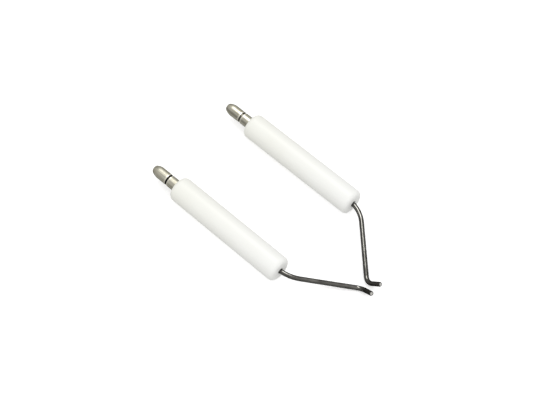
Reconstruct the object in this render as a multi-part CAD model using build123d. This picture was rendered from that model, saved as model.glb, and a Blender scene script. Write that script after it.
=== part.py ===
from build123d import *
import math
import os

# Pair of oil-burner ignition electrodes, lying side by side on a flat surface.
# Millimetres. +X runs along both insulators towards the spark gap, +Z is up.
# Each electrode is first built in its own frame: the insulator's axis is the X axis and
# its wire-end face is at x = 0, so everything inside the ceramic has a negative x.

# Insulator: one glazed ceramic tube
INSULATOR_DIAMETER = 14.0
INSULATOR_LENGTH = 73.0
INSULATOR_EDGE_RADIUS = 2.5
BORE_DIAMETER = 3.0
BORE_MOUTH_CHAMFER = 0.35
COUNTERBORE_DIAMETER = 6.9
COUNTERBORE_DEPTH = 12.0

# Electrode rod: heat-resistant wire with two bends
ROD_DIAMETER = 2.5
ROD_TIP_CHAMFER = 0.12
FIRST_CORNER_REACH = 4.9
FIRST_BEND_RADIUS = 18.0
SECOND_BEND_RADIUS = 5.0
TIP_LENGTH = 9.2
TIP_TURN_OUT = 21.5
TIP_RISE = 33.0

# Terminal: turned pin for a quarter-inch push-on plug
TERMINAL_DIAMETER = 6.35
TERMINAL_LENGTH = 17.0
NOSE_LENGTH = 4.0
NOSE_MID_LENGTH = 1.6
NOSE_MID_RADIUS = 2.72
NOSE_END_RADIUS = 1.9
NOSE_EDGE_RADIUS = 0.45
GROOVE_FROM_NOSE = 10.7
GROOVE_WIDTH = 1.0
GROOVE_DEPTH = 0.65
GROOVE_CHAMFER = 0.2
COLLAR_DEPTH = 4.0
SHANK_DIAMETER = 5.0
SHANK_LENGTH = 7.0
SHANK_RING_COUNT = 3
SHANK_RING_PITCH = 1.8
SHANK_RING_WIDTH = 0.7
SHANK_RING_DEPTH = 0.4
SOCKET_DEPTH = 8.0
SOCKET_CLEARANCE = 0.02
ROD_END_GAP = 0.3

# Cement
TERMINAL_CEMENT_SET_BACK = 0.4
ROD_CEMENT_SET_BACK = 4.0
ROD_CEMENT_LENGTH = 5.0

# The pair as it lies: the wires bend towards each other
AXIS_SPACING = 55.0

# The rods are bent by hand, so the two first bends differ a little
LEFT_FIRST_BEND = 44.0
LEFT_RUN_LENGTH = 40.6
RIGHT_FIRST_BEND = 39.5
RIGHT_RUN_LENGTH = 38.2

REAR_FACE_X = -INSULATOR_LENGTH
TERMINAL_INNER_X = REAR_FACE_X + COLLAR_DEPTH + SHANK_LENGTH
ROD_REAR_X = TERMINAL_INNER_X - SOCKET_DEPTH + ROD_END_GAP
ROLL_STEPS = 40
PATH_SAMPLES = 400


def cylinder_along_x(diameter, start_x, end_x):
    """Solid cylinder on the X axis from start_x to end_x."""
    section = Plane(origin=(start_x, 0, 0), z_dir=(1, 0, 0)) * Circle(diameter / 2)
    return extrude(section, amount=end_x - start_x)


def make_insulator():
    """Ceramic tube with rounded ends, a through bore and the terminal's counterbore."""
    body = cylinder_along_x(INSULATOR_DIAMETER, REAR_FACE_X, 0)
    body = fillet(body.edges().filter_by(GeomType.CIRCLE), INSULATOR_EDGE_RADIUS)
    body -= cylinder_along_x(BORE_DIAMETER, REAR_FACE_X, 0)
    body -= cylinder_along_x(COUNTERBORE_DIAMETER, REAR_FACE_X, REAR_FACE_X + COUNTERBORE_DEPTH)
    mouth = body.edges().filter_by(GeomType.CIRCLE).group_by(Axis.X)[-1].sort_by(SortBy.RADIUS)[0]
    return chamfer(mouth, BORE_MOUTH_CHAMFER)


def rod_path(side, bend, run):
    """Centreline of a rod that bends towards side times +Y, before it is rolled."""
    bend_angle = math.radians(bend)
    turn_out = math.radians(TIP_TURN_OUT)
    rise = math.radians(TIP_RISE)
    run_direction = Vector(math.cos(bend_angle), side * math.sin(bend_angle), 0)
    tip_direction = Vector(
        math.cos(rise) * math.cos(turn_out),
        -side * math.cos(rise) * math.sin(turn_out),
        math.sin(rise),
    )
    first_corner = Vector(FIRST_CORNER_REACH, 0, 0)
    second_corner = first_corner + run_direction * run
    tip = second_corner + tip_direction * TIP_LENGTH
    corners = [Vector(ROD_REAR_X, 0, 0), first_corner, second_corner, tip]
    return FilletPolyline(*corners, radius=[FIRST_BEND_RADIUS, SECOND_BEND_RADIUS])


def resting_roll(path, side):
    """Turn about the X axis, in degrees, that lays the rod on the surface under the insulator."""
    target = (ROD_DIAMETER - INSULATOR_DIAMETER) / 2
    points = [path @ (step / PATH_SAMPLES) for step in range(PATH_SAMPLES + 1)]
    low, high = 0.0, 45.0
    for _ in range(ROLL_STEPS):
        roll = (low + high) / 2
        sine = math.sin(math.radians(roll))
        cosine = math.cos(math.radians(roll))
        lowest = min(point.Z * cosine - side * point.Y * sine for point in points)
        if lowest > target:
            low = roll
        else:
            high = roll
    return low


def make_rod(side, bend, run):
    """Bent wire, rolled about the insulator's axis until it rests on the surface."""
    path = rod_path(side, bend, run)
    section = Plane(origin=path @ 0, z_dir=path % 0) * Circle(ROD_DIAMETER / 2)
    rod = sweep(section, path=path)
    tip_edge = rod.edges().filter_by(GeomType.CIRCLE).sort_by(Axis.X)[-1]
    rod = chamfer(tip_edge, ROD_TIP_CHAMFER)
    return Rotation(-side * resting_roll(path, side), 0, 0) * rod


def terminal_outline():
    """Half outline of the terminal in the XY plane, nose first, without its grooves."""
    nose_x = REAR_FACE_X - TERMINAL_LENGTH
    radius = TERMINAL_DIAMETER / 2
    collar_x = REAR_FACE_X + COLLAR_DEPTH
    nose = ThreePointArc(
        (nose_x, NOSE_END_RADIUS),
        (nose_x + NOSE_MID_LENGTH, NOSE_MID_RADIUS),
        (nose_x + NOSE_LENGTH, radius),
    )
    rest = Polyline(
        nose @ 1,
        (collar_x, radius),
        (collar_x, SHANK_DIAMETER / 2),
        (TERMINAL_INNER_X, SHANK_DIAMETER / 2),
        (TERMINAL_INNER_X, 0),
        (nose_x, 0),
        nose @ 0,
    )
    return make_face([*nose.edges(), *rest.edges()])


def groove_cutter(start_x, width, depth, diameter, edge_chamfer=0.0):
    """Ring that cuts a square groove into a round pin, with optional chamfered lips."""
    outside = diameter / 2 + edge_chamfer
    middle_x = start_x + width / 2
    half = width / 2
    outline = Polyline(
        (middle_x - half - 2 * edge_chamfer, outside),
        (middle_x - half, diameter / 2 - edge_chamfer),
        (middle_x - half, diameter / 2 - depth),
        (middle_x + half, diameter / 2 - depth),
        (middle_x + half, diameter / 2 - edge_chamfer),
        (middle_x + half + 2 * edge_chamfer, outside),
        close=True,
    )
    return revolve(make_face(outline.edges()), axis=Axis.X)


def make_terminal():
    """Turned pin: rounded nose, detent groove, collar and ringed shank with the rod's socket."""
    terminal = revolve(terminal_outline(), axis=Axis.X)
    nose_edge = terminal.edges().filter_by(GeomType.CIRCLE).sort_by(Axis.X)[0]
    terminal = fillet(nose_edge, NOSE_EDGE_RADIUS)
    groove_x = REAR_FACE_X - TERMINAL_LENGTH + GROOVE_FROM_NOSE - GROOVE_WIDTH / 2
    terminal -= groove_cutter(groove_x, GROOVE_WIDTH, GROOVE_DEPTH, TERMINAL_DIAMETER, GROOVE_CHAMFER)
    first_ring_x = REAR_FACE_X + COLLAR_DEPTH + SHANK_RING_PITCH / 2
    for ring in range(SHANK_RING_COUNT):
        ring_x = first_ring_x + ring * SHANK_RING_PITCH
        cutter = cylinder_along_x(2 * SHANK_DIAMETER, ring_x, ring_x + SHANK_RING_WIDTH)
        core = cylinder_along_x(SHANK_DIAMETER - 2 * SHANK_RING_DEPTH, ring_x, ring_x + SHANK_RING_WIDTH)
        terminal -= cutter - core
    socket = cylinder_along_x(
        ROD_DIAMETER + 2 * SOCKET_CLEARANCE, TERMINAL_INNER_X - SOCKET_DEPTH, TERMINAL_INNER_X
    )
    return terminal - socket


def make_terminal_cement(terminal):
    """Cement that fills the counterbore round the terminal's collar and shank."""
    start_x = REAR_FACE_X + TERMINAL_CEMENT_SET_BACK
    filling = cylinder_along_x(COUNTERBORE_DIAMETER, start_x, TERMINAL_INNER_X)
    middle_of_wall = (SHANK_DIAMETER + ROD_DIAMETER) / 2
    inside_shank = cylinder_along_x(middle_of_wall, start_x, TERMINAL_INNER_X)
    return filling - terminal - inside_shank


def make_rod_cement():
    """Ring of cement between the rod and the bore, set back from the wire-end face."""
    start_x = -ROD_CEMENT_SET_BACK - ROD_CEMENT_LENGTH
    ring = cylinder_along_x(BORE_DIAMETER, start_x, -ROD_CEMENT_SET_BACK)
    return ring - cylinder_along_x(ROD_DIAMETER, start_x, -ROD_CEMENT_SET_BACK)


def make_electrode(name, side, bend, run):
    """All pieces of one electrode at their place in the pair, before the origin is set."""
    terminal = make_terminal()
    pieces = {
        "insulator": make_insulator(),
        "rod": make_rod(side, bend, run),
        "terminal": terminal,
        "terminal_cement": make_terminal_cement(terminal),
        "rod_cement": make_rod_cement(),
    }
    place = Location((0, -side * AXIS_SPACING / 2, INSULATOR_DIAMETER / 2))
    return {f"{name}_{piece}": place * shape for piece, shape in pieces.items()}


def centre_on_surface(nodes):
    """Move the pair so that the origin is under the middle of its bounding box."""
    box = Compound(children=[Compound(shape.solids()) for shape in nodes.values()]).bounding_box()
    shift = Location((-box.center().X, -box.center().Y, 0))
    return {name: shift * shape for name, shape in nodes.items()}


nodes = make_electrode("left", -1, LEFT_FIRST_BEND, LEFT_RUN_LENGTH)
nodes.update(make_electrode("right", 1, RIGHT_FIRST_BEND, RIGHT_RUN_LENGTH))
nodes = centre_on_surface(nodes)

os.makedirs("parts", exist_ok=True)
for node_name, node_shape in nodes.items():
    export_step(node_shape, f"parts/{node_name}.step")
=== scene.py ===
import math
import bmesh
import bpy
from mathutils import Matrix, Vector, noise


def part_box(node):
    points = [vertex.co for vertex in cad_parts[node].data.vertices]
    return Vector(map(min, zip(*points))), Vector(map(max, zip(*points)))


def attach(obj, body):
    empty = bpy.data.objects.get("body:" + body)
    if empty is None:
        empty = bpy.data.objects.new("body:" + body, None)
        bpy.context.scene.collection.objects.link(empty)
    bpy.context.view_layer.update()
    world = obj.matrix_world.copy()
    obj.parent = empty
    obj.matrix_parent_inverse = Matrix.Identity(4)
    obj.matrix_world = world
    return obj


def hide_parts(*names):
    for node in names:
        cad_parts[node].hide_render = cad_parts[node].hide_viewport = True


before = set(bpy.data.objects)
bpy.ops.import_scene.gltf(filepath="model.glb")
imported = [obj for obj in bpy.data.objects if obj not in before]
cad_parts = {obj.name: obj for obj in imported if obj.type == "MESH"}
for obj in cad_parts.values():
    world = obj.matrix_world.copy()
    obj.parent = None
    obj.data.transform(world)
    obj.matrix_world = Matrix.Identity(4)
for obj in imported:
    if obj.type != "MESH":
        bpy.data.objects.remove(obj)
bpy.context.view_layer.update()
MM = 0.001
SIDES = {"left": -1, "right": 1}


# ---------------------------------------------------------------- mesh helpers

def rounded_outline(corners, steps=10):
    """Outline points from (x, r, corner radius) triples; each corner becomes a tangent arc."""
    points = []
    count = len(corners)
    for index, (x, r, radius) in enumerate(corners):
        here = Vector((x, r))
        if radius == 0:
            points.append(here)
            continue
        before = (Vector(corners[index - 1][:2]) - here).normalized()
        after = (Vector(corners[(index + 1) % count][:2]) - here).normalized()
        half_turn = before.angle(after) / 2
        reach = radius / math.tan(half_turn)
        centre = here + (before + after).normalized() * radius / math.sin(half_turn)
        start = here + before * reach - centre
        end = here + after * reach - centre
        turn = start.angle_signed(end)
        for step in range(steps + 1):
            points.append(centre + Matrix.Rotation(-turn * step / steps, 2) @ start)
    return points


def subdivide_outline(points, longest):
    """The closed outline with extra points, so that no edge is longer than longest."""
    finer = []
    for index, point in enumerate(points):
        following = points[(index + 1) % len(points)]
        on_axis = point.y < 1e-7 and following.y < 1e-7
        pieces = 1 if on_axis else max(1, math.ceil((following - point).length / longest))
        finer += [point.lerp(following, step / pieces) for step in range(pieces)]
    return finer


def lathe(name, outline, segments, radial_offset=None):
    """Closed solid of revolution about the X axis. outline is a closed loop of (x, r) points."""
    mesh = bmesh.new()
    rings = []
    for x, r in outline:
        if r < 1e-7:
            rings.append([mesh.verts.new((x, 0, 0))])
            continue
        ring = []
        for segment in range(segments):
            angle = 2 * math.pi * segment / segments
            radius = r + (radial_offset(x, r, angle) if radial_offset else 0)
            ring.append(mesh.verts.new((x, radius * math.cos(angle), radius * math.sin(angle))))
        rings.append(ring)
    for index, ring in enumerate(rings):
        following = rings[(index + 1) % len(rings)]
        if len(ring) == 1 and len(following) == 1:
            continue
        for segment in range(segments):
            corners = [
                ring[segment % len(ring)],
                ring[(segment + 1) % len(ring)],
                following[(segment + 1) % len(following)],
                following[segment % len(following)],
            ]
            mesh.faces.new(list(dict.fromkeys(corners)))
    bmesh.ops.recalc_face_normals(mesh, faces=mesh.faces)
    return finish_mesh(name, mesh)


def finish_mesh(name, mesh, sharp_degrees=35):
    data = bpy.data.meshes.new(name)
    mesh.to_mesh(data)
    mesh.free()
    data.polygons.foreach_set("use_smooth", [True] * len(data.polygons))
    data.set_sharp_from_angle(angle=math.radians(sharp_degrees))
    piece = bpy.data.objects.new(name, data)
    bpy.context.scene.collection.objects.link(piece)
    return piece


def put_in_place(piece, node, body, material):
    """The piece stands for a CAD node: same place, same body, its own material."""
    piece.data.materials.append(material)
    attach(piece, body)
    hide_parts(node)


# ---------------------------------------------------------------- material helpers

class Nodes:
    """A few short calls for building a material's node tree."""

    def __init__(self, name):
        self.material = bpy.data.materials.new(name)
        self.material.use_nodes = True
        self.tree = self.material.node_tree
        self.shader = self.tree.nodes["Principled BSDF"]

    def add(self, kind, **values):
        node = self.tree.nodes.new(kind)
        for key, value in values.items():
            if hasattr(node, key):
                setattr(node, key, value)
            else:
                node.inputs[key.replace("_", " ")].default_value = value
        return node

    def link(self, source, output, target, socket):
        self.tree.links.new(source.outputs[output], target.inputs[socket])

    def set(self, **values):
        for key, value in values.items():
            self.shader.inputs[key.replace("_", " ")].default_value = value

    def object_noise(self, scale, stretch=(1, 1, 1), detail=4.0, roughness=0.55):
        """Noise over the object's own coordinates, stretched along each axis."""
        place = self.add("ShaderNodeTexCoord")
        mapping = self.add("ShaderNodeMapping")
        mapping.inputs["Scale"].default_value = stretch
        texture = self.add("ShaderNodeTexNoise", Scale=scale, Detail=detail, Roughness=roughness)
        self.link(place, "Object", mapping, "Vector")
        self.link(mapping, "Vector", texture, "Vector")
        return texture

    def ramp(self, source, output, stops):
        """Colour ramp with (position, colour) stops."""
        node = self.add("ShaderNodeValToRGB")
        elements = node.color_ramp.elements
        elements[0].position, elements[0].color = stops[0]
        elements[1].position, elements[1].color = stops[-1]
        for position, colour in stops[1:-1]:
            elements.new(position).color = colour
        self.link(source, output, node, "Fac")
        return node

    def span(self, source, output, from_min, from_max, to_min, to_max):
        node = self.add("ShaderNodeMapRange")
        node.inputs["From Min"].default_value = from_min
        node.inputs["From Max"].default_value = from_max
        node.inputs["To Min"].default_value = to_min
        node.inputs["To Max"].default_value = to_max
        self.link(source, output, node, "Value")
        return node

    def mix(self, factor, first, second, blend="MIX"):
        """Mixes two colours; each argument is a (node, output) pair or a value."""
        node = self.add("ShaderNodeMix")
        node.data_type = "RGBA"
        node.blend_type = blend
        for socket, value in ((0, factor), (6, first), (7, second)):
            if isinstance(value, tuple) and hasattr(value[0], "outputs"):
                self.tree.links.new(value[0].outputs[value[1]], node.inputs[socket])
            else:
                node.inputs[socket].default_value = value
        return node, 2

    def bump(self, source, output, strength, distance):
        node = self.add("ShaderNodeBump", Strength=strength, Distance=distance)
        self.link(source, output, node, "Height")
        return node


def grey(value):
    return (value, value, value, 1.0)


# ---------------------------------------------------------------- materials

# Glaze colours for the terminal end and the front end: the darker rear colour is painted shade.
GLAZE_REAR_PAINTED_SHADE = (0.835, 0.835, 0.785, 1)
GLAZE_FRONT_LIT = (0.86, 0.862, 0.845, 1)
NICKEL_DULL = (0.37, 0.35, 0.27, 1)
NICKEL_PLAIN = (0.42, 0.405, 0.335, 1)
NICKEL_BRIGHT = (0.46, 0.445, 0.38, 1)
ROD_DARK = (0.048, 0.046, 0.042, 1)
ROD_PLAIN = (0.092, 0.090, 0.083, 1)
ROD_BRIGHT = (0.165, 0.162, 0.15, 1)
TABLE_GLOW = 0.30

def make_glaze():
    """Warm white glazed ceramic: faint cloudiness, a few tiny iron specks; darker towards the terminal end as
    painted shade, and a little yellower there.
    """
    n = Nodes("white_glaze")
    n.set(IOR=1.45, Specular_IOR_Level=0.13)
    place = n.add("ShaderNodeTexCoord")
    split = n.add("ShaderNodeSeparateXYZ")
    n.link(place, "Object", split, "Vector")
    # Darker towards the terminal end: painted shade, partly also a slightly yellower tone.
    along = n.span(split, "X", -0.05, 0.024, 0.0, 1.0)
    body = n.mix((along, "Result"), GLAZE_REAR_PAINTED_SHADE, GLAZE_FRONT_LIT)
    cloud = n.object_noise(140.0, (0.5, 1, 1), 3.0)
    shade = n.ramp(cloud, "Fac", [(0.3, (0.985, 0.985, 0.975, 1)), (0.75, grey(1.0))])
    tone = n.mix(1.0, body, (shade, "Color"), "MULTIPLY")
    speck = n.object_noise(1500.0, (1, 1, 1), 1.0)
    dots = n.ramp(speck, "Fac", [(0.81, grey(0)), (0.85, grey(0.5))])
    colour = n.mix((dots, "Color"), tone, (0.45, 0.38, 0.28, 1))
    n.tree.links.new(colour[0].outputs[colour[1]], n.shader.inputs["Base Color"])
    gloss = n.span(cloud, "Fac", 0.3, 0.7, 0.34, 0.42)
    n.link(gloss, "Result", n.shader, "Roughness")
    peel = n.object_noise(420.0, (0.6, 1, 1), 2.0)
    skin = n.bump(peel, "Fac", 0.12, 0.00003)
    n.link(skin, "Normal", n.shader, "Normal")
    return n.material


def make_nickel():
    """Nickel plate on a turned pin: warm grey, drawn lengthwise; the snap groove is darkened near black as
    painted shade, and its two lips are lightened as a painted highlight.
    """
    n = Nodes("nickel_plate")
    n.set(Metallic=1.0, Specular_Tint=(0.55, 0.55, 0.52, 1))
    streak = n.object_noise(800.0, (0.03, 1, 1), 3.0, 0.55)
    patch = n.object_noise(320.0, (0.4, 1, 1), 3.0)
    plate = n.ramp(patch, "Fac", [(0.25, NICKEL_DULL), (0.55, NICKEL_PLAIN), (0.8, NICKEL_BRIGHT)])
    dull = n.ramp(streak, "Fac", [(0.42, grey(0.60)), (0.56, grey(1.0))])
    plated = n.mix(1.0, (plate, "Color"), (dull, "Color"), "MULTIPLY")
    # Lighter metal on the groove's two lips: painted highlight.
    painted_lip_highlight = n.add("ShaderNodeAttribute", attribute_name="painted_lip_highlight")
    with_lip_highlight = n.mix((painted_lip_highlight, "Fac"), plated, (0.60, 0.58, 0.50, 1))
    # Near black deep in the groove: painted shade.
    painted_groove_shade = n.add("ShaderNodeAttribute", attribute_name="painted_groove_shade")
    colour = n.mix((painted_groove_shade, "Fac"), with_lip_highlight, (0.012, 0.011, 0.010, 1))
    n.tree.links.new(colour[0].outputs[colour[1]], n.shader.inputs["Base Color"])
    rough = n.span(streak, "Fac", 0.38, 0.6, 0.46, 0.34)
    n.link(rough, "Result", n.shader, "Roughness")
    lines = n.bump(streak, "Fac", 0.3, 0.00003)
    n.link(lines, "Normal", n.shader, "Normal")
    return n.material


def make_rod_steel():
    """Drawn heat-resistant wire: smooth dark oxide, burnt black at the tip."""
    n = Nodes("rod_steel")
    # The near-black specular tint darkens the wire's reflection towards its rims: painted shade.
    n.set(Metallic=1.0, Specular_Tint=(0.05, 0.05, 0.05, 1))
    along = n.add("ShaderNodeAttribute", attribute_name="from_tip")
    wander = n.object_noise(260.0, (1, 1, 1), 4.0)
    shifted = n.add("ShaderNodeMath", operation="MULTIPLY_ADD")
    n.link(wander, "Fac", shifted, 0)
    shifted.inputs[1].default_value = 4.0
    n.tree.links.new(along.outputs["Fac"], shifted.inputs[2])
    oxide = n.object_noise(700.0, (0.25, 0.25, 1), 5.0, 0.6)
    smooth = n.ramp(oxide, "Fac", [(0.25, ROD_DARK), (0.55, ROD_PLAIN), (0.8, ROD_BRIGHT)])
    burnt = n.span(shifted, "Value", 7.5, 12.0, 1.0, 0.0)
    colour = n.mix((burnt, "Result"), (smooth, "Color"), (0.055, 0.053, 0.049, 1))
    n.tree.links.new(colour[0].outputs[colour[1]], n.shader.inputs["Base Color"])
    rough = n.mix((burnt, "Result"), grey(0.15), grey(0.36))
    n.tree.links.new(rough[0].outputs[rough[1]], n.shader.inputs["Roughness"])
    skin = n.bump(oxide, "Fac", 0.35, 0.00003)
    n.link(skin, "Normal", n.shader, "Normal")
    return n.material


def make_cut_steel():
    """Freshly sheared end face of the rod: bright, with coarse shear marks."""
    n = Nodes("cut_steel")
    n.set(Metallic=1.0)
    marks = n.object_noise(1600.0, (1, 0.15, 1), 4.0)
    tone = n.ramp(marks, "Fac", [(0.3, (0.50, 0.49, 0.46, 1)), (0.7, (0.80, 0.79, 0.76, 1))])
    n.link(tone, "Color", n.shader, "Base Color")
    rough = n.span(marks, "Fac", 0.3, 0.7, 0.28, 0.45)
    n.link(rough, "Result", n.shader, "Roughness")
    relief = n.bump(marks, "Fac", 0.5, 0.00006)
    n.link(relief, "Normal", n.shader, "Normal")
    return n.material


def make_cement():
    """Matt ceramic cement: pale grey, grainy, with pores."""
    n = Nodes("cement")
    grain = n.object_noise(2600.0, (1, 1, 1), 6.0, 0.65)
    tone = n.ramp(grain, "Fac", [(0.3, (0.40, 0.385, 0.35, 1)), (0.7, (0.66, 0.645, 0.60, 1))])
    n.link(tone, "Color", n.shader, "Base Color")
    n.set(Roughness=0.92)
    pores = n.bump(grain, "Fac", 0.9, 0.0002)
    n.link(pores, "Normal", n.shader, "Normal")
    return n.material


def make_table_acrylic():
    """Smooth white light table: matt acrylic that glows a little from below."""
    n = Nodes("table_white")
    mottle = n.object_noise(3.0, (1, 1, 1), 2.0)
    tone = n.ramp(mottle, "Fac", [(0.3, grey(0.90)), (0.7, grey(0.915))])
    n.link(tone, "Color", n.shader, "Base Color")
    n.set(Roughness=0.8, Emission_Color=grey(1.0), Emission_Strength=TABLE_GLOW)
    return n.material


# ---------------------------------------------------------------- insulator

EDGE_RADIUS = 2.5 * MM
BORE_RADIUS = 1.5 * MM
MOUTH_CHAMFER = 0.35 * MM
COUNTERBORE_RADIUS = 3.45 * MM
COUNTERBORE_DEPTH = 12.0 * MM
FIRING_WAVE = 0.008 * MM


def make_insulator(side, material):
    """Glazed tube: rounded ends, bore with a softened mouth, counterbore at the terminal end."""
    node = f"{side}_insulator"
    low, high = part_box(node)
    axis = (low + high) / 2
    radius = (high.z - low.z) / 2
    rear, front = low.x, high.x
    outline = rounded_outline([
        (rear, COUNTERBORE_RADIUS, 0.3 * MM),
        (rear, radius, EDGE_RADIUS),
        (front, radius, EDGE_RADIUS),
        (front, BORE_RADIUS + MOUTH_CHAMFER, 0.25 * MM),
        (front - MOUTH_CHAMFER, BORE_RADIUS, 0.2 * MM),
        (rear + COUNTERBORE_DEPTH, BORE_RADIUS, 0.2 * MM),
        (rear + COUNTERBORE_DEPTH, COUNTERBORE_RADIUS, 0.3 * MM),
    ])
    outline = subdivide_outline(outline, 1.5 * MM)

    def fired(x, r, angle):
        """Slight waviness of a fired tube, always inward."""
        spot = Vector((x * 40, math.cos(angle) * 0.8, math.sin(angle) * 0.8 + SIDES[side]))
        return (noise.noise(spot) - 1) * FIRING_WAVE / 2 if r > COUNTERBORE_RADIUS else 0

    piece = lathe(f"{side}_insulator_glazed", outline, 144, fired)
    piece.data.transform(Matrix.Translation((0, axis.y, axis.z)))
    put_in_place(piece, node, f"{side}_electrode", material)


# ---------------------------------------------------------------- terminal

NOSE_LENGTH = 4.0 * MM
NOSE_END_RADIUS = 1.9 * MM
NOSE_MID = (1.6 * MM, 2.72 * MM)
GROOVE_FROM_NOSE = 10.7 * MM
GROOVE_WIDTH = 1.0 * MM
GROOVE_DEPTH = 0.65 * MM
COLLAR_END_FROM_NOSE = 21.0 * MM
SHANK_RADIUS = 2.5 * MM
# How dark the painted shade in each terminal's snap groove is.
GROOVE_PAINTED_SHADE = {"left": 0.75, "right": 1.0}
SHANK_RINGS = 3
SHANK_RING_PITCH = 1.8 * MM
SHANK_RING_WIDTH = 0.7 * MM
SHANK_RING_DEPTH = 0.4 * MM
SOCKET_RADIUS = 1.27 * MM
SOCKET_DEPTH = 8.0 * MM


def arc_through(first, middle, last, steps):
    """Points on the circle through three points, the last one left out."""
    a, b, c = Vector(first), Vector(middle), Vector(last)
    d = 2 * (a.x * (b.y - c.y) + b.x * (c.y - a.y) + c.x * (a.y - b.y))
    ux = (a.length_squared * (b.y - c.y) + b.length_squared * (c.y - a.y) + c.length_squared * (a.y - b.y)) / d
    uy = (a.length_squared * (c.x - b.x) + b.length_squared * (a.x - c.x) + c.length_squared * (b.x - a.x)) / d
    centre = Vector((ux, uy))
    turn = (a - centre).angle_signed(c - centre)
    return [centre + Matrix.Rotation(-turn * step / steps, 2) @ (a - centre) for step in range(steps)]


def mark_groove(data, groove, radius, strength):
    """Vertex values for the nickel: painted shade deep in the groove, a painted highlight on its two lips."""
    painted_groove_shade = data.attributes.new("painted_groove_shade", "FLOAT", "POINT")
    painted_lip_highlight = data.attributes.new("painted_lip_highlight", "FLOAT", "POINT")
    for index, vert in enumerate(data.vertices):
        depth = radius - math.hypot(vert.co.y, vert.co.z)
        beside = abs(vert.co.x - groove) - GROOVE_WIDTH / 2
        inside = beside < 0.02 * MM
        # The painted shade grows with depth inside the groove; the painted highlight lies on the lips just
        # beside it.
        painted_groove_shade.data[index].value = strength * min(1.0, max(0.0, depth / (0.25 * MM))) if inside else 0.0
        painted_lip_highlight.data[index].value = 1.0 if not inside and beside < 0.35 * MM and depth < 0.1 * MM else 0.0


def make_terminal(side, material):
    """Turned pin: crowned nose, snap groove with broken edges, collar, ringed shank and socket."""
    node = f"{side}_terminal"
    low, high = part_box(node)
    axis = (low + high) / 2
    radius = (high.z - low.z) / 2
    nose, inner = low.x, high.x
    groove = nose + GROOVE_FROM_NOSE
    half = GROOVE_WIDTH / 2
    collar = nose + COLLAR_END_FROM_NOSE
    body = [
        (groove - half, radius, 0.22 * MM),
        (groove - half, radius - GROOVE_DEPTH, 0.1 * MM),
        (groove + half, radius - GROOVE_DEPTH, 0.1 * MM),
        (groove + half, radius, 0.30 * MM),
        (collar, radius, 0.2 * MM),
        (collar, SHANK_RADIUS, 0.1 * MM),
    ]
    for ring in range(SHANK_RINGS):
        start = collar + SHANK_RING_PITCH * (ring + 0.5)
        bottom = SHANK_RADIUS - SHANK_RING_DEPTH
        body += [
            (start, SHANK_RADIUS, 0.05 * MM),
            (start, bottom, 0.05 * MM),
            (start + SHANK_RING_WIDTH, bottom, 0.05 * MM),
            (start + SHANK_RING_WIDTH, SHANK_RADIUS, 0.05 * MM),
        ]
    body += [
        (inner, SHANK_RADIUS, 0.2 * MM),
        (inner, SOCKET_RADIUS, 0.15 * MM),
        (inner - SOCKET_DEPTH, SOCKET_RADIUS, 0.1 * MM),
        (inner - SOCKET_DEPTH, 0, 0),
        (nose, 0, 0),
        (nose, NOSE_END_RADIUS, 0.45 * MM),
    ]
    crown_end = (nose + NOSE_LENGTH, radius)
    crown = arc_through((nose, NOSE_END_RADIUS), (nose + NOSE_MID[0], NOSE_MID[1]), crown_end, 16)
    outline = rounded_outline([(*crown_end, 0)] + body[:-1], 6)
    edge = rounded_outline([(nose, 0, 0), (nose, NOSE_END_RADIUS, 0.45 * MM), (*crown[3], 0)], 8)
    outline = subdivide_outline(outline + edge[1:-1] + crown[3:], 0.8 * MM)
    piece = lathe(f"{side}_terminal_plated", outline, 112)
    # Painted shade in the groove and a painted highlight on its lips.
    mark_groove(piece.data, groove, radius, GROOVE_PAINTED_SHADE[side])
    piece.data.transform(Matrix.Translation((0, axis.y, axis.z)))
    put_in_place(piece, node, f"{side}_electrode", material)


# ---------------------------------------------------------------- electrode rod

FIRST_CORNER_REACH = 4.9 * MM
FIRST_BEND_RADIUS = 18.0 * MM
SECOND_BEND_RADIUS = 5.0 * MM
TIP_LENGTH = 9.2 * MM
TIP_TURN_OUT = math.radians(21.5)
TIP_RISE = math.radians(33.0)
FIRST_BEND = {"left": math.radians(44.0), "right": math.radians(39.5)}
RUN_LENGTH = {"left": 40.6 * MM, "right": 38.2 * MM}
ROD_RADIUS = 1.25 * MM
ROD_STEP = 0.35 * MM
ROD_SEGMENTS = 40
TIP_CHAMFER = 0.12 * MM
SCALE_DEPTH = 0.035 * MM


def bend_polyline(corners, radii, step):
    """Points along straight runs joined by tangent arcs, about step apart."""
    points = [corners[0].copy()]
    for before, here, after, radius in zip(corners, corners[1:], corners[2:], radii):
        arrive = (here - before).normalized()
        leave = (after - here).normalized()
        turn = arrive.angle(leave)
        reach = radius * math.tan(turn / 2)
        start = here - arrive * reach
        centre = start + (leave - arrive * arrive.dot(leave)).normalized() * radius
        axis = arrive.cross(leave).normalized()
        points += straight(points[-1], start, step)
        count = max(6, math.ceil(radius * turn / step))
        for index in range(1, count + 1):
            points.append(centre + Matrix.Rotation(turn * index / count, 3, axis) @ (start - centre))
    points += straight(points[-1], corners[-1], step)
    return points


def straight(start, end, step):
    count = max(1, math.ceil((end - start).length / step))
    return [start.lerp(end, index / count) for index in range(1, count + 1)]


def resting_roll(points, side_sign, target):
    """Turn about X that brings the lowest point of the centreline down to target."""
    low, high = 0.0, math.radians(45)
    for _ in range(40):
        roll = (low + high) / 2
        lowest = min(p.z * math.cos(roll) - side_sign * p.y * math.sin(roll) for p in points)
        if lowest > target:
            low = roll
        else:
            high = roll
    return low


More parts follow.
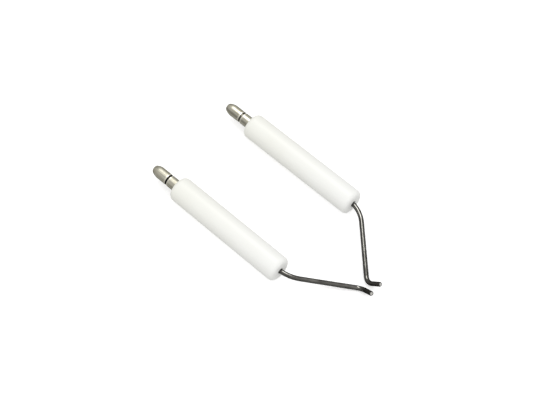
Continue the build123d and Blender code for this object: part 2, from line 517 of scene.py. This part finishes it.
def rod_centreline(side, rear, front):
    """The rod's centreline about the insulator's axis, rolled until it rests on the table."""
    sign = SIDES[side]
    bend = FIRST_BEND[side]
    run = Vector((math.cos(bend), sign * math.sin(bend), 0))
    tip = Vector((
        math.cos(TIP_RISE) * math.cos(TIP_TURN_OUT),
        -sign * math.cos(TIP_RISE) * math.sin(TIP_TURN_OUT),
        math.sin(TIP_RISE),
    ))
    first = Vector((front + FIRST_CORNER_REACH, 0, 0))
    second = first + run * RUN_LENGTH[side]
    corners = [Vector((rear, 0, 0)), first, second, second + tip * TIP_LENGTH]
    points = bend_polyline(corners, [FIRST_BEND_RADIUS, SECOND_BEND_RADIUS], ROD_STEP)
    insulator_low, insulator_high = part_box(f"{side}_insulator")
    drop = ROD_RADIUS - (insulator_high.z - insulator_low.z) / 2
    roll = resting_roll(points, sign, drop)
    return [Matrix.Rotation(-sign * roll, 3, "X") @ point for point in points]


def make_rod(side, steel, cut_face):
    """Drawn wire swept along its bends, with a scaly burnt tip and a sheared end face."""
    node = f"{side}_rod"
    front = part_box(f"{side}_insulator")[1].x
    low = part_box(node)[0]
    place_low, place_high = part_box(f"{side}_insulator")
    axis = (place_low + place_high) / 2
    points = rod_centreline(side, low.x, front)
    points = [point + Vector((0, axis.y, axis.z)) for point in points]
    distance = [0.0]
    for before, here in zip(points, points[1:]):
        distance.append(distance[-1] + (here - before).length)
    total = distance[-1]
    mesh = bmesh.new()
    from_tip = mesh.verts.layers.float.new("from_tip")
    across = Vector((0, 0, 1))
    rings = []
    for index, point in enumerate(points):
        ahead = points[min(index + 1, len(points) - 1)]
        behind = points[max(index - 1, 0)]
        tangent = (ahead - behind).normalized()
        across = (across - tangent * across.dot(tangent)).normalized()
        other = tangent.cross(across)
        rest = total - distance[index]
        scale = SCALE_DEPTH * max(0.0, 1 - rest / (9 * MM))
        end_gap = min(rest, distance[index])
        shrink = max(0.0, TIP_CHAMFER - end_gap)
        ring = []
        for segment in range(ROD_SEGMENTS):
            angle = 2 * math.pi * segment / ROD_SEGMENTS
            outward = across * math.cos(angle) + other * math.sin(angle)
            rough = (noise.noise((point + outward * ROD_RADIUS) * 1400) - 0.6) * scale
            vert = mesh.verts.new(point + outward * (ROD_RADIUS - shrink + rough))
            vert[from_tip] = rest / MM
            ring.append(vert)
        rings.append(ring)
    for ring, following in zip(rings, rings[1:]):
        for segment in range(ROD_SEGMENTS):
            following_segment = (segment + 1) % ROD_SEGMENTS
            mesh.faces.new((
                ring[segment], ring[following_segment],
                following[following_segment], following[segment],
            ))
    for ring in (rings[0], rings[-1]):
        centre = mesh.verts.new(sum((v.co for v in ring), Vector()) / ROD_SEGMENTS)
        centre[from_tip] = ring[0][from_tip]
        inner = []
        for vert in ring:
            ring_inner = mesh.verts.new(vert.co.lerp(centre.co, 0.30))
            ring_inner[from_tip] = vert[from_tip]
            inner.append(ring_inner)
        for segment in range(ROD_SEGMENTS):
            after = (segment + 1) % ROD_SEGMENTS
            mesh.faces.new((ring[segment], ring[after], inner[after], inner[segment]))
            mesh.faces.new((inner[segment], inner[after], centre)).material_index = 1
    bmesh.ops.recalc_face_normals(mesh, faces=mesh.faces)
    piece = finish_mesh(f"{side}_rod_wire", mesh)
    put_in_place(piece, node, f"{side}_electrode", steel)
    piece.data.materials.append(cut_face)


# ---------------------------------------------------------------- cement

def make_terminal_cement(side, material):
    """Cement in the counterbore: its visible face is uneven and creeps up the ceramic."""
    node = f"{side}_terminal_cement"
    low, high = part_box(node)
    axis = (low + high) / 2
    outer = (high.z - low.z) / 2 - 0.02 * MM
    terminal_low, terminal_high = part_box(f"{side}_terminal")
    inner = (terminal_high.z - terminal_low.z) / 2 + 0.01 * MM
    collar = terminal_low.x + COLLAR_END_FROM_NOSE
    outline = subdivide_outline(rounded_outline([
        (low.x, inner, 0),
        (low.x, outer, 0),
        (high.x, outer, 0),
        (high.x, SHANK_RADIUS + 0.01 * MM, 0),
        (collar + 0.02 * MM, SHANK_RADIUS + 0.01 * MM, 0),
        (collar + 0.02 * MM, inner, 0),
    ]), 0.12 * MM)
    piece = lathe(f"{side}_terminal_cement_fill", outline, 96)
    face_limit = low.x + 0.05 * MM
    for vert in piece.data.vertices:
        if vert.co.x < face_limit:
            lump = noise.noise(vert.co * 1800 + Vector((0, 0, 7 * SIDES[side])))
            vert.co.x += 0.12 * MM * (lump + 0.6)
    piece.data.transform(Matrix.Translation((0, axis.y, axis.z)))
    put_in_place(piece, node, f"{side}_electrode", material)


# ---------------------------------------------------------------- the object

glaze = make_glaze()
nickel = make_nickel()
rod_steel = make_rod_steel()
cut_steel = make_cut_steel()
cement = make_cement()
for side in SIDES:
    make_insulator(side, glaze)
    make_terminal(side, nickel)
    make_rod(side, rod_steel, cut_steel)
    make_terminal_cement(side, cement)
    rod_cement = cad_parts[f"{side}_rod_cement"]
    rod_cement.data.materials.clear()
    rod_cement.data.materials.append(cement)


# ---------------------------------------------------------------- table, light and camera

FLOOR_SIZE = 6.0
floor_mesh = bmesh.new()
bmesh.ops.create_grid(floor_mesh, x_segments=2, y_segments=2, size=FLOOR_SIZE / 2)
floor = finish_mesh("table_top", floor_mesh)
floor.data.materials.append(make_table_acrylic())
# The table is only for the camera: it throws no light back on the ceramic and no mirror image on the metal.
floor.visible_diffuse = False
floor.visible_glossy = False

CAMERA_AZIMUTH = math.radians(43.42)
CAMERA_ELEVATION = math.radians(57.63)
CAMERA_DISTANCE = 0.8
CAMERA_LENS = 104.34
CAMERA_AIM_SHIFT = Vector((2.58, -1.48, 0.14)) * MM


def direction(azimuth, elevation):
    """Unit vector from the object towards a place in the studio, angles in radians."""
    return Vector((
        math.sin(azimuth) * math.cos(elevation),
        -math.cos(azimuth) * math.cos(elevation),
        math.sin(elevation),
    ))


def softbox(name, azimuth, elevation, distance, size, power, target):
    """Rectangular area light, aimed at the target from a direction given in degrees."""
    back = direction(math.radians(azimuth), math.radians(elevation))
    light = bpy.data.lights.new(name, "AREA")
    light.shape = "RECTANGLE"
    light.size, light.size_y = size
    light.energy = power
    lamp = bpy.data.objects.new(name, light)
    lamp.location = target + back * distance
    lamp.rotation_euler = back.to_track_quat("Z", "Y").to_euler()
    bpy.context.scene.collection.objects.link(lamp)
    return lamp


DOME_BASE = 0.72
DIFFUSER_GAIN = 0.85
DIFFUSER_DIRECTION = direction(math.radians(55), math.radians(77))
DIFFUSER_SHARPNESS = 2.0


def make_sky():
    """Even dome that brightens smoothly towards a large diffuser above the camera."""
    world = bpy.data.worlds.new("studio")
    bpy.context.scene.world = world
    world.use_nodes = True
    tree = world.node_tree
    place = tree.nodes.new("ShaderNodeTexCoord")
    facing = tree.nodes.new("ShaderNodeVectorMath")
    facing.operation = "DOT_PRODUCT"
    facing.inputs[1].default_value = DIFFUSER_DIRECTION
    lit = tree.nodes.new("ShaderNodeMath")
    lit.operation = "MAXIMUM"
    lit.inputs[1].default_value = 0.0
    lobe = tree.nodes.new("ShaderNodeMath")
    lobe.operation = "POWER"
    lobe.inputs[1].default_value = DIFFUSER_SHARPNESS
    level = tree.nodes.new("ShaderNodeMath")
    level.operation = "MULTIPLY_ADD"
    level.inputs[1].default_value = DIFFUSER_GAIN
    level.inputs[2].default_value = DOME_BASE
    tree.links.new(place.outputs["Generated"], facing.inputs[0])
    tree.links.new(facing.outputs["Value"], lit.inputs[0])
    tree.links.new(lit.outputs["Value"], lobe.inputs[0])
    tree.links.new(lobe.outputs["Value"], level.inputs[0])
    tree.links.new(level.outputs["Value"], tree.nodes["Background"].inputs["Strength"])
    tree.nodes["Background"].inputs["Color"].default_value = (1.0, 1.0, 0.995, 1)


def make_camera(target):
    back = direction(CAMERA_AZIMUTH, CAMERA_ELEVATION)
    data = bpy.data.cameras.new("photo_view")
    data.lens = CAMERA_LENS
    data.sensor_width = 36.0
    data.clip_start = 0.01
    camera = bpy.data.objects.new("photo_view", data)
    camera.location = target + back * CAMERA_DISTANCE
    camera.rotation_euler = back.to_track_quat("Z", "Y").to_euler()
    bpy.context.scene.collection.objects.link(camera)
    bpy.context.scene.camera = camera


def insulators_middle():
    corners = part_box("left_insulator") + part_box("right_insulator")
    return sum((Vector(corner) for corner in corners), Vector()) / 4


middle = insulators_middle()
make_sky()
# The strip gives the metal its bright stripe and casts no shadow.
strip = softbox("strip_softbox", 223, 66, 1.0, (0.36, 0.50), 8.4, middle)
strip.visible_diffuse = False
make_camera(middle + CAMERA_AIM_SHIFT)
bpy.context.scene.view_settings.view_transform = "Standard"
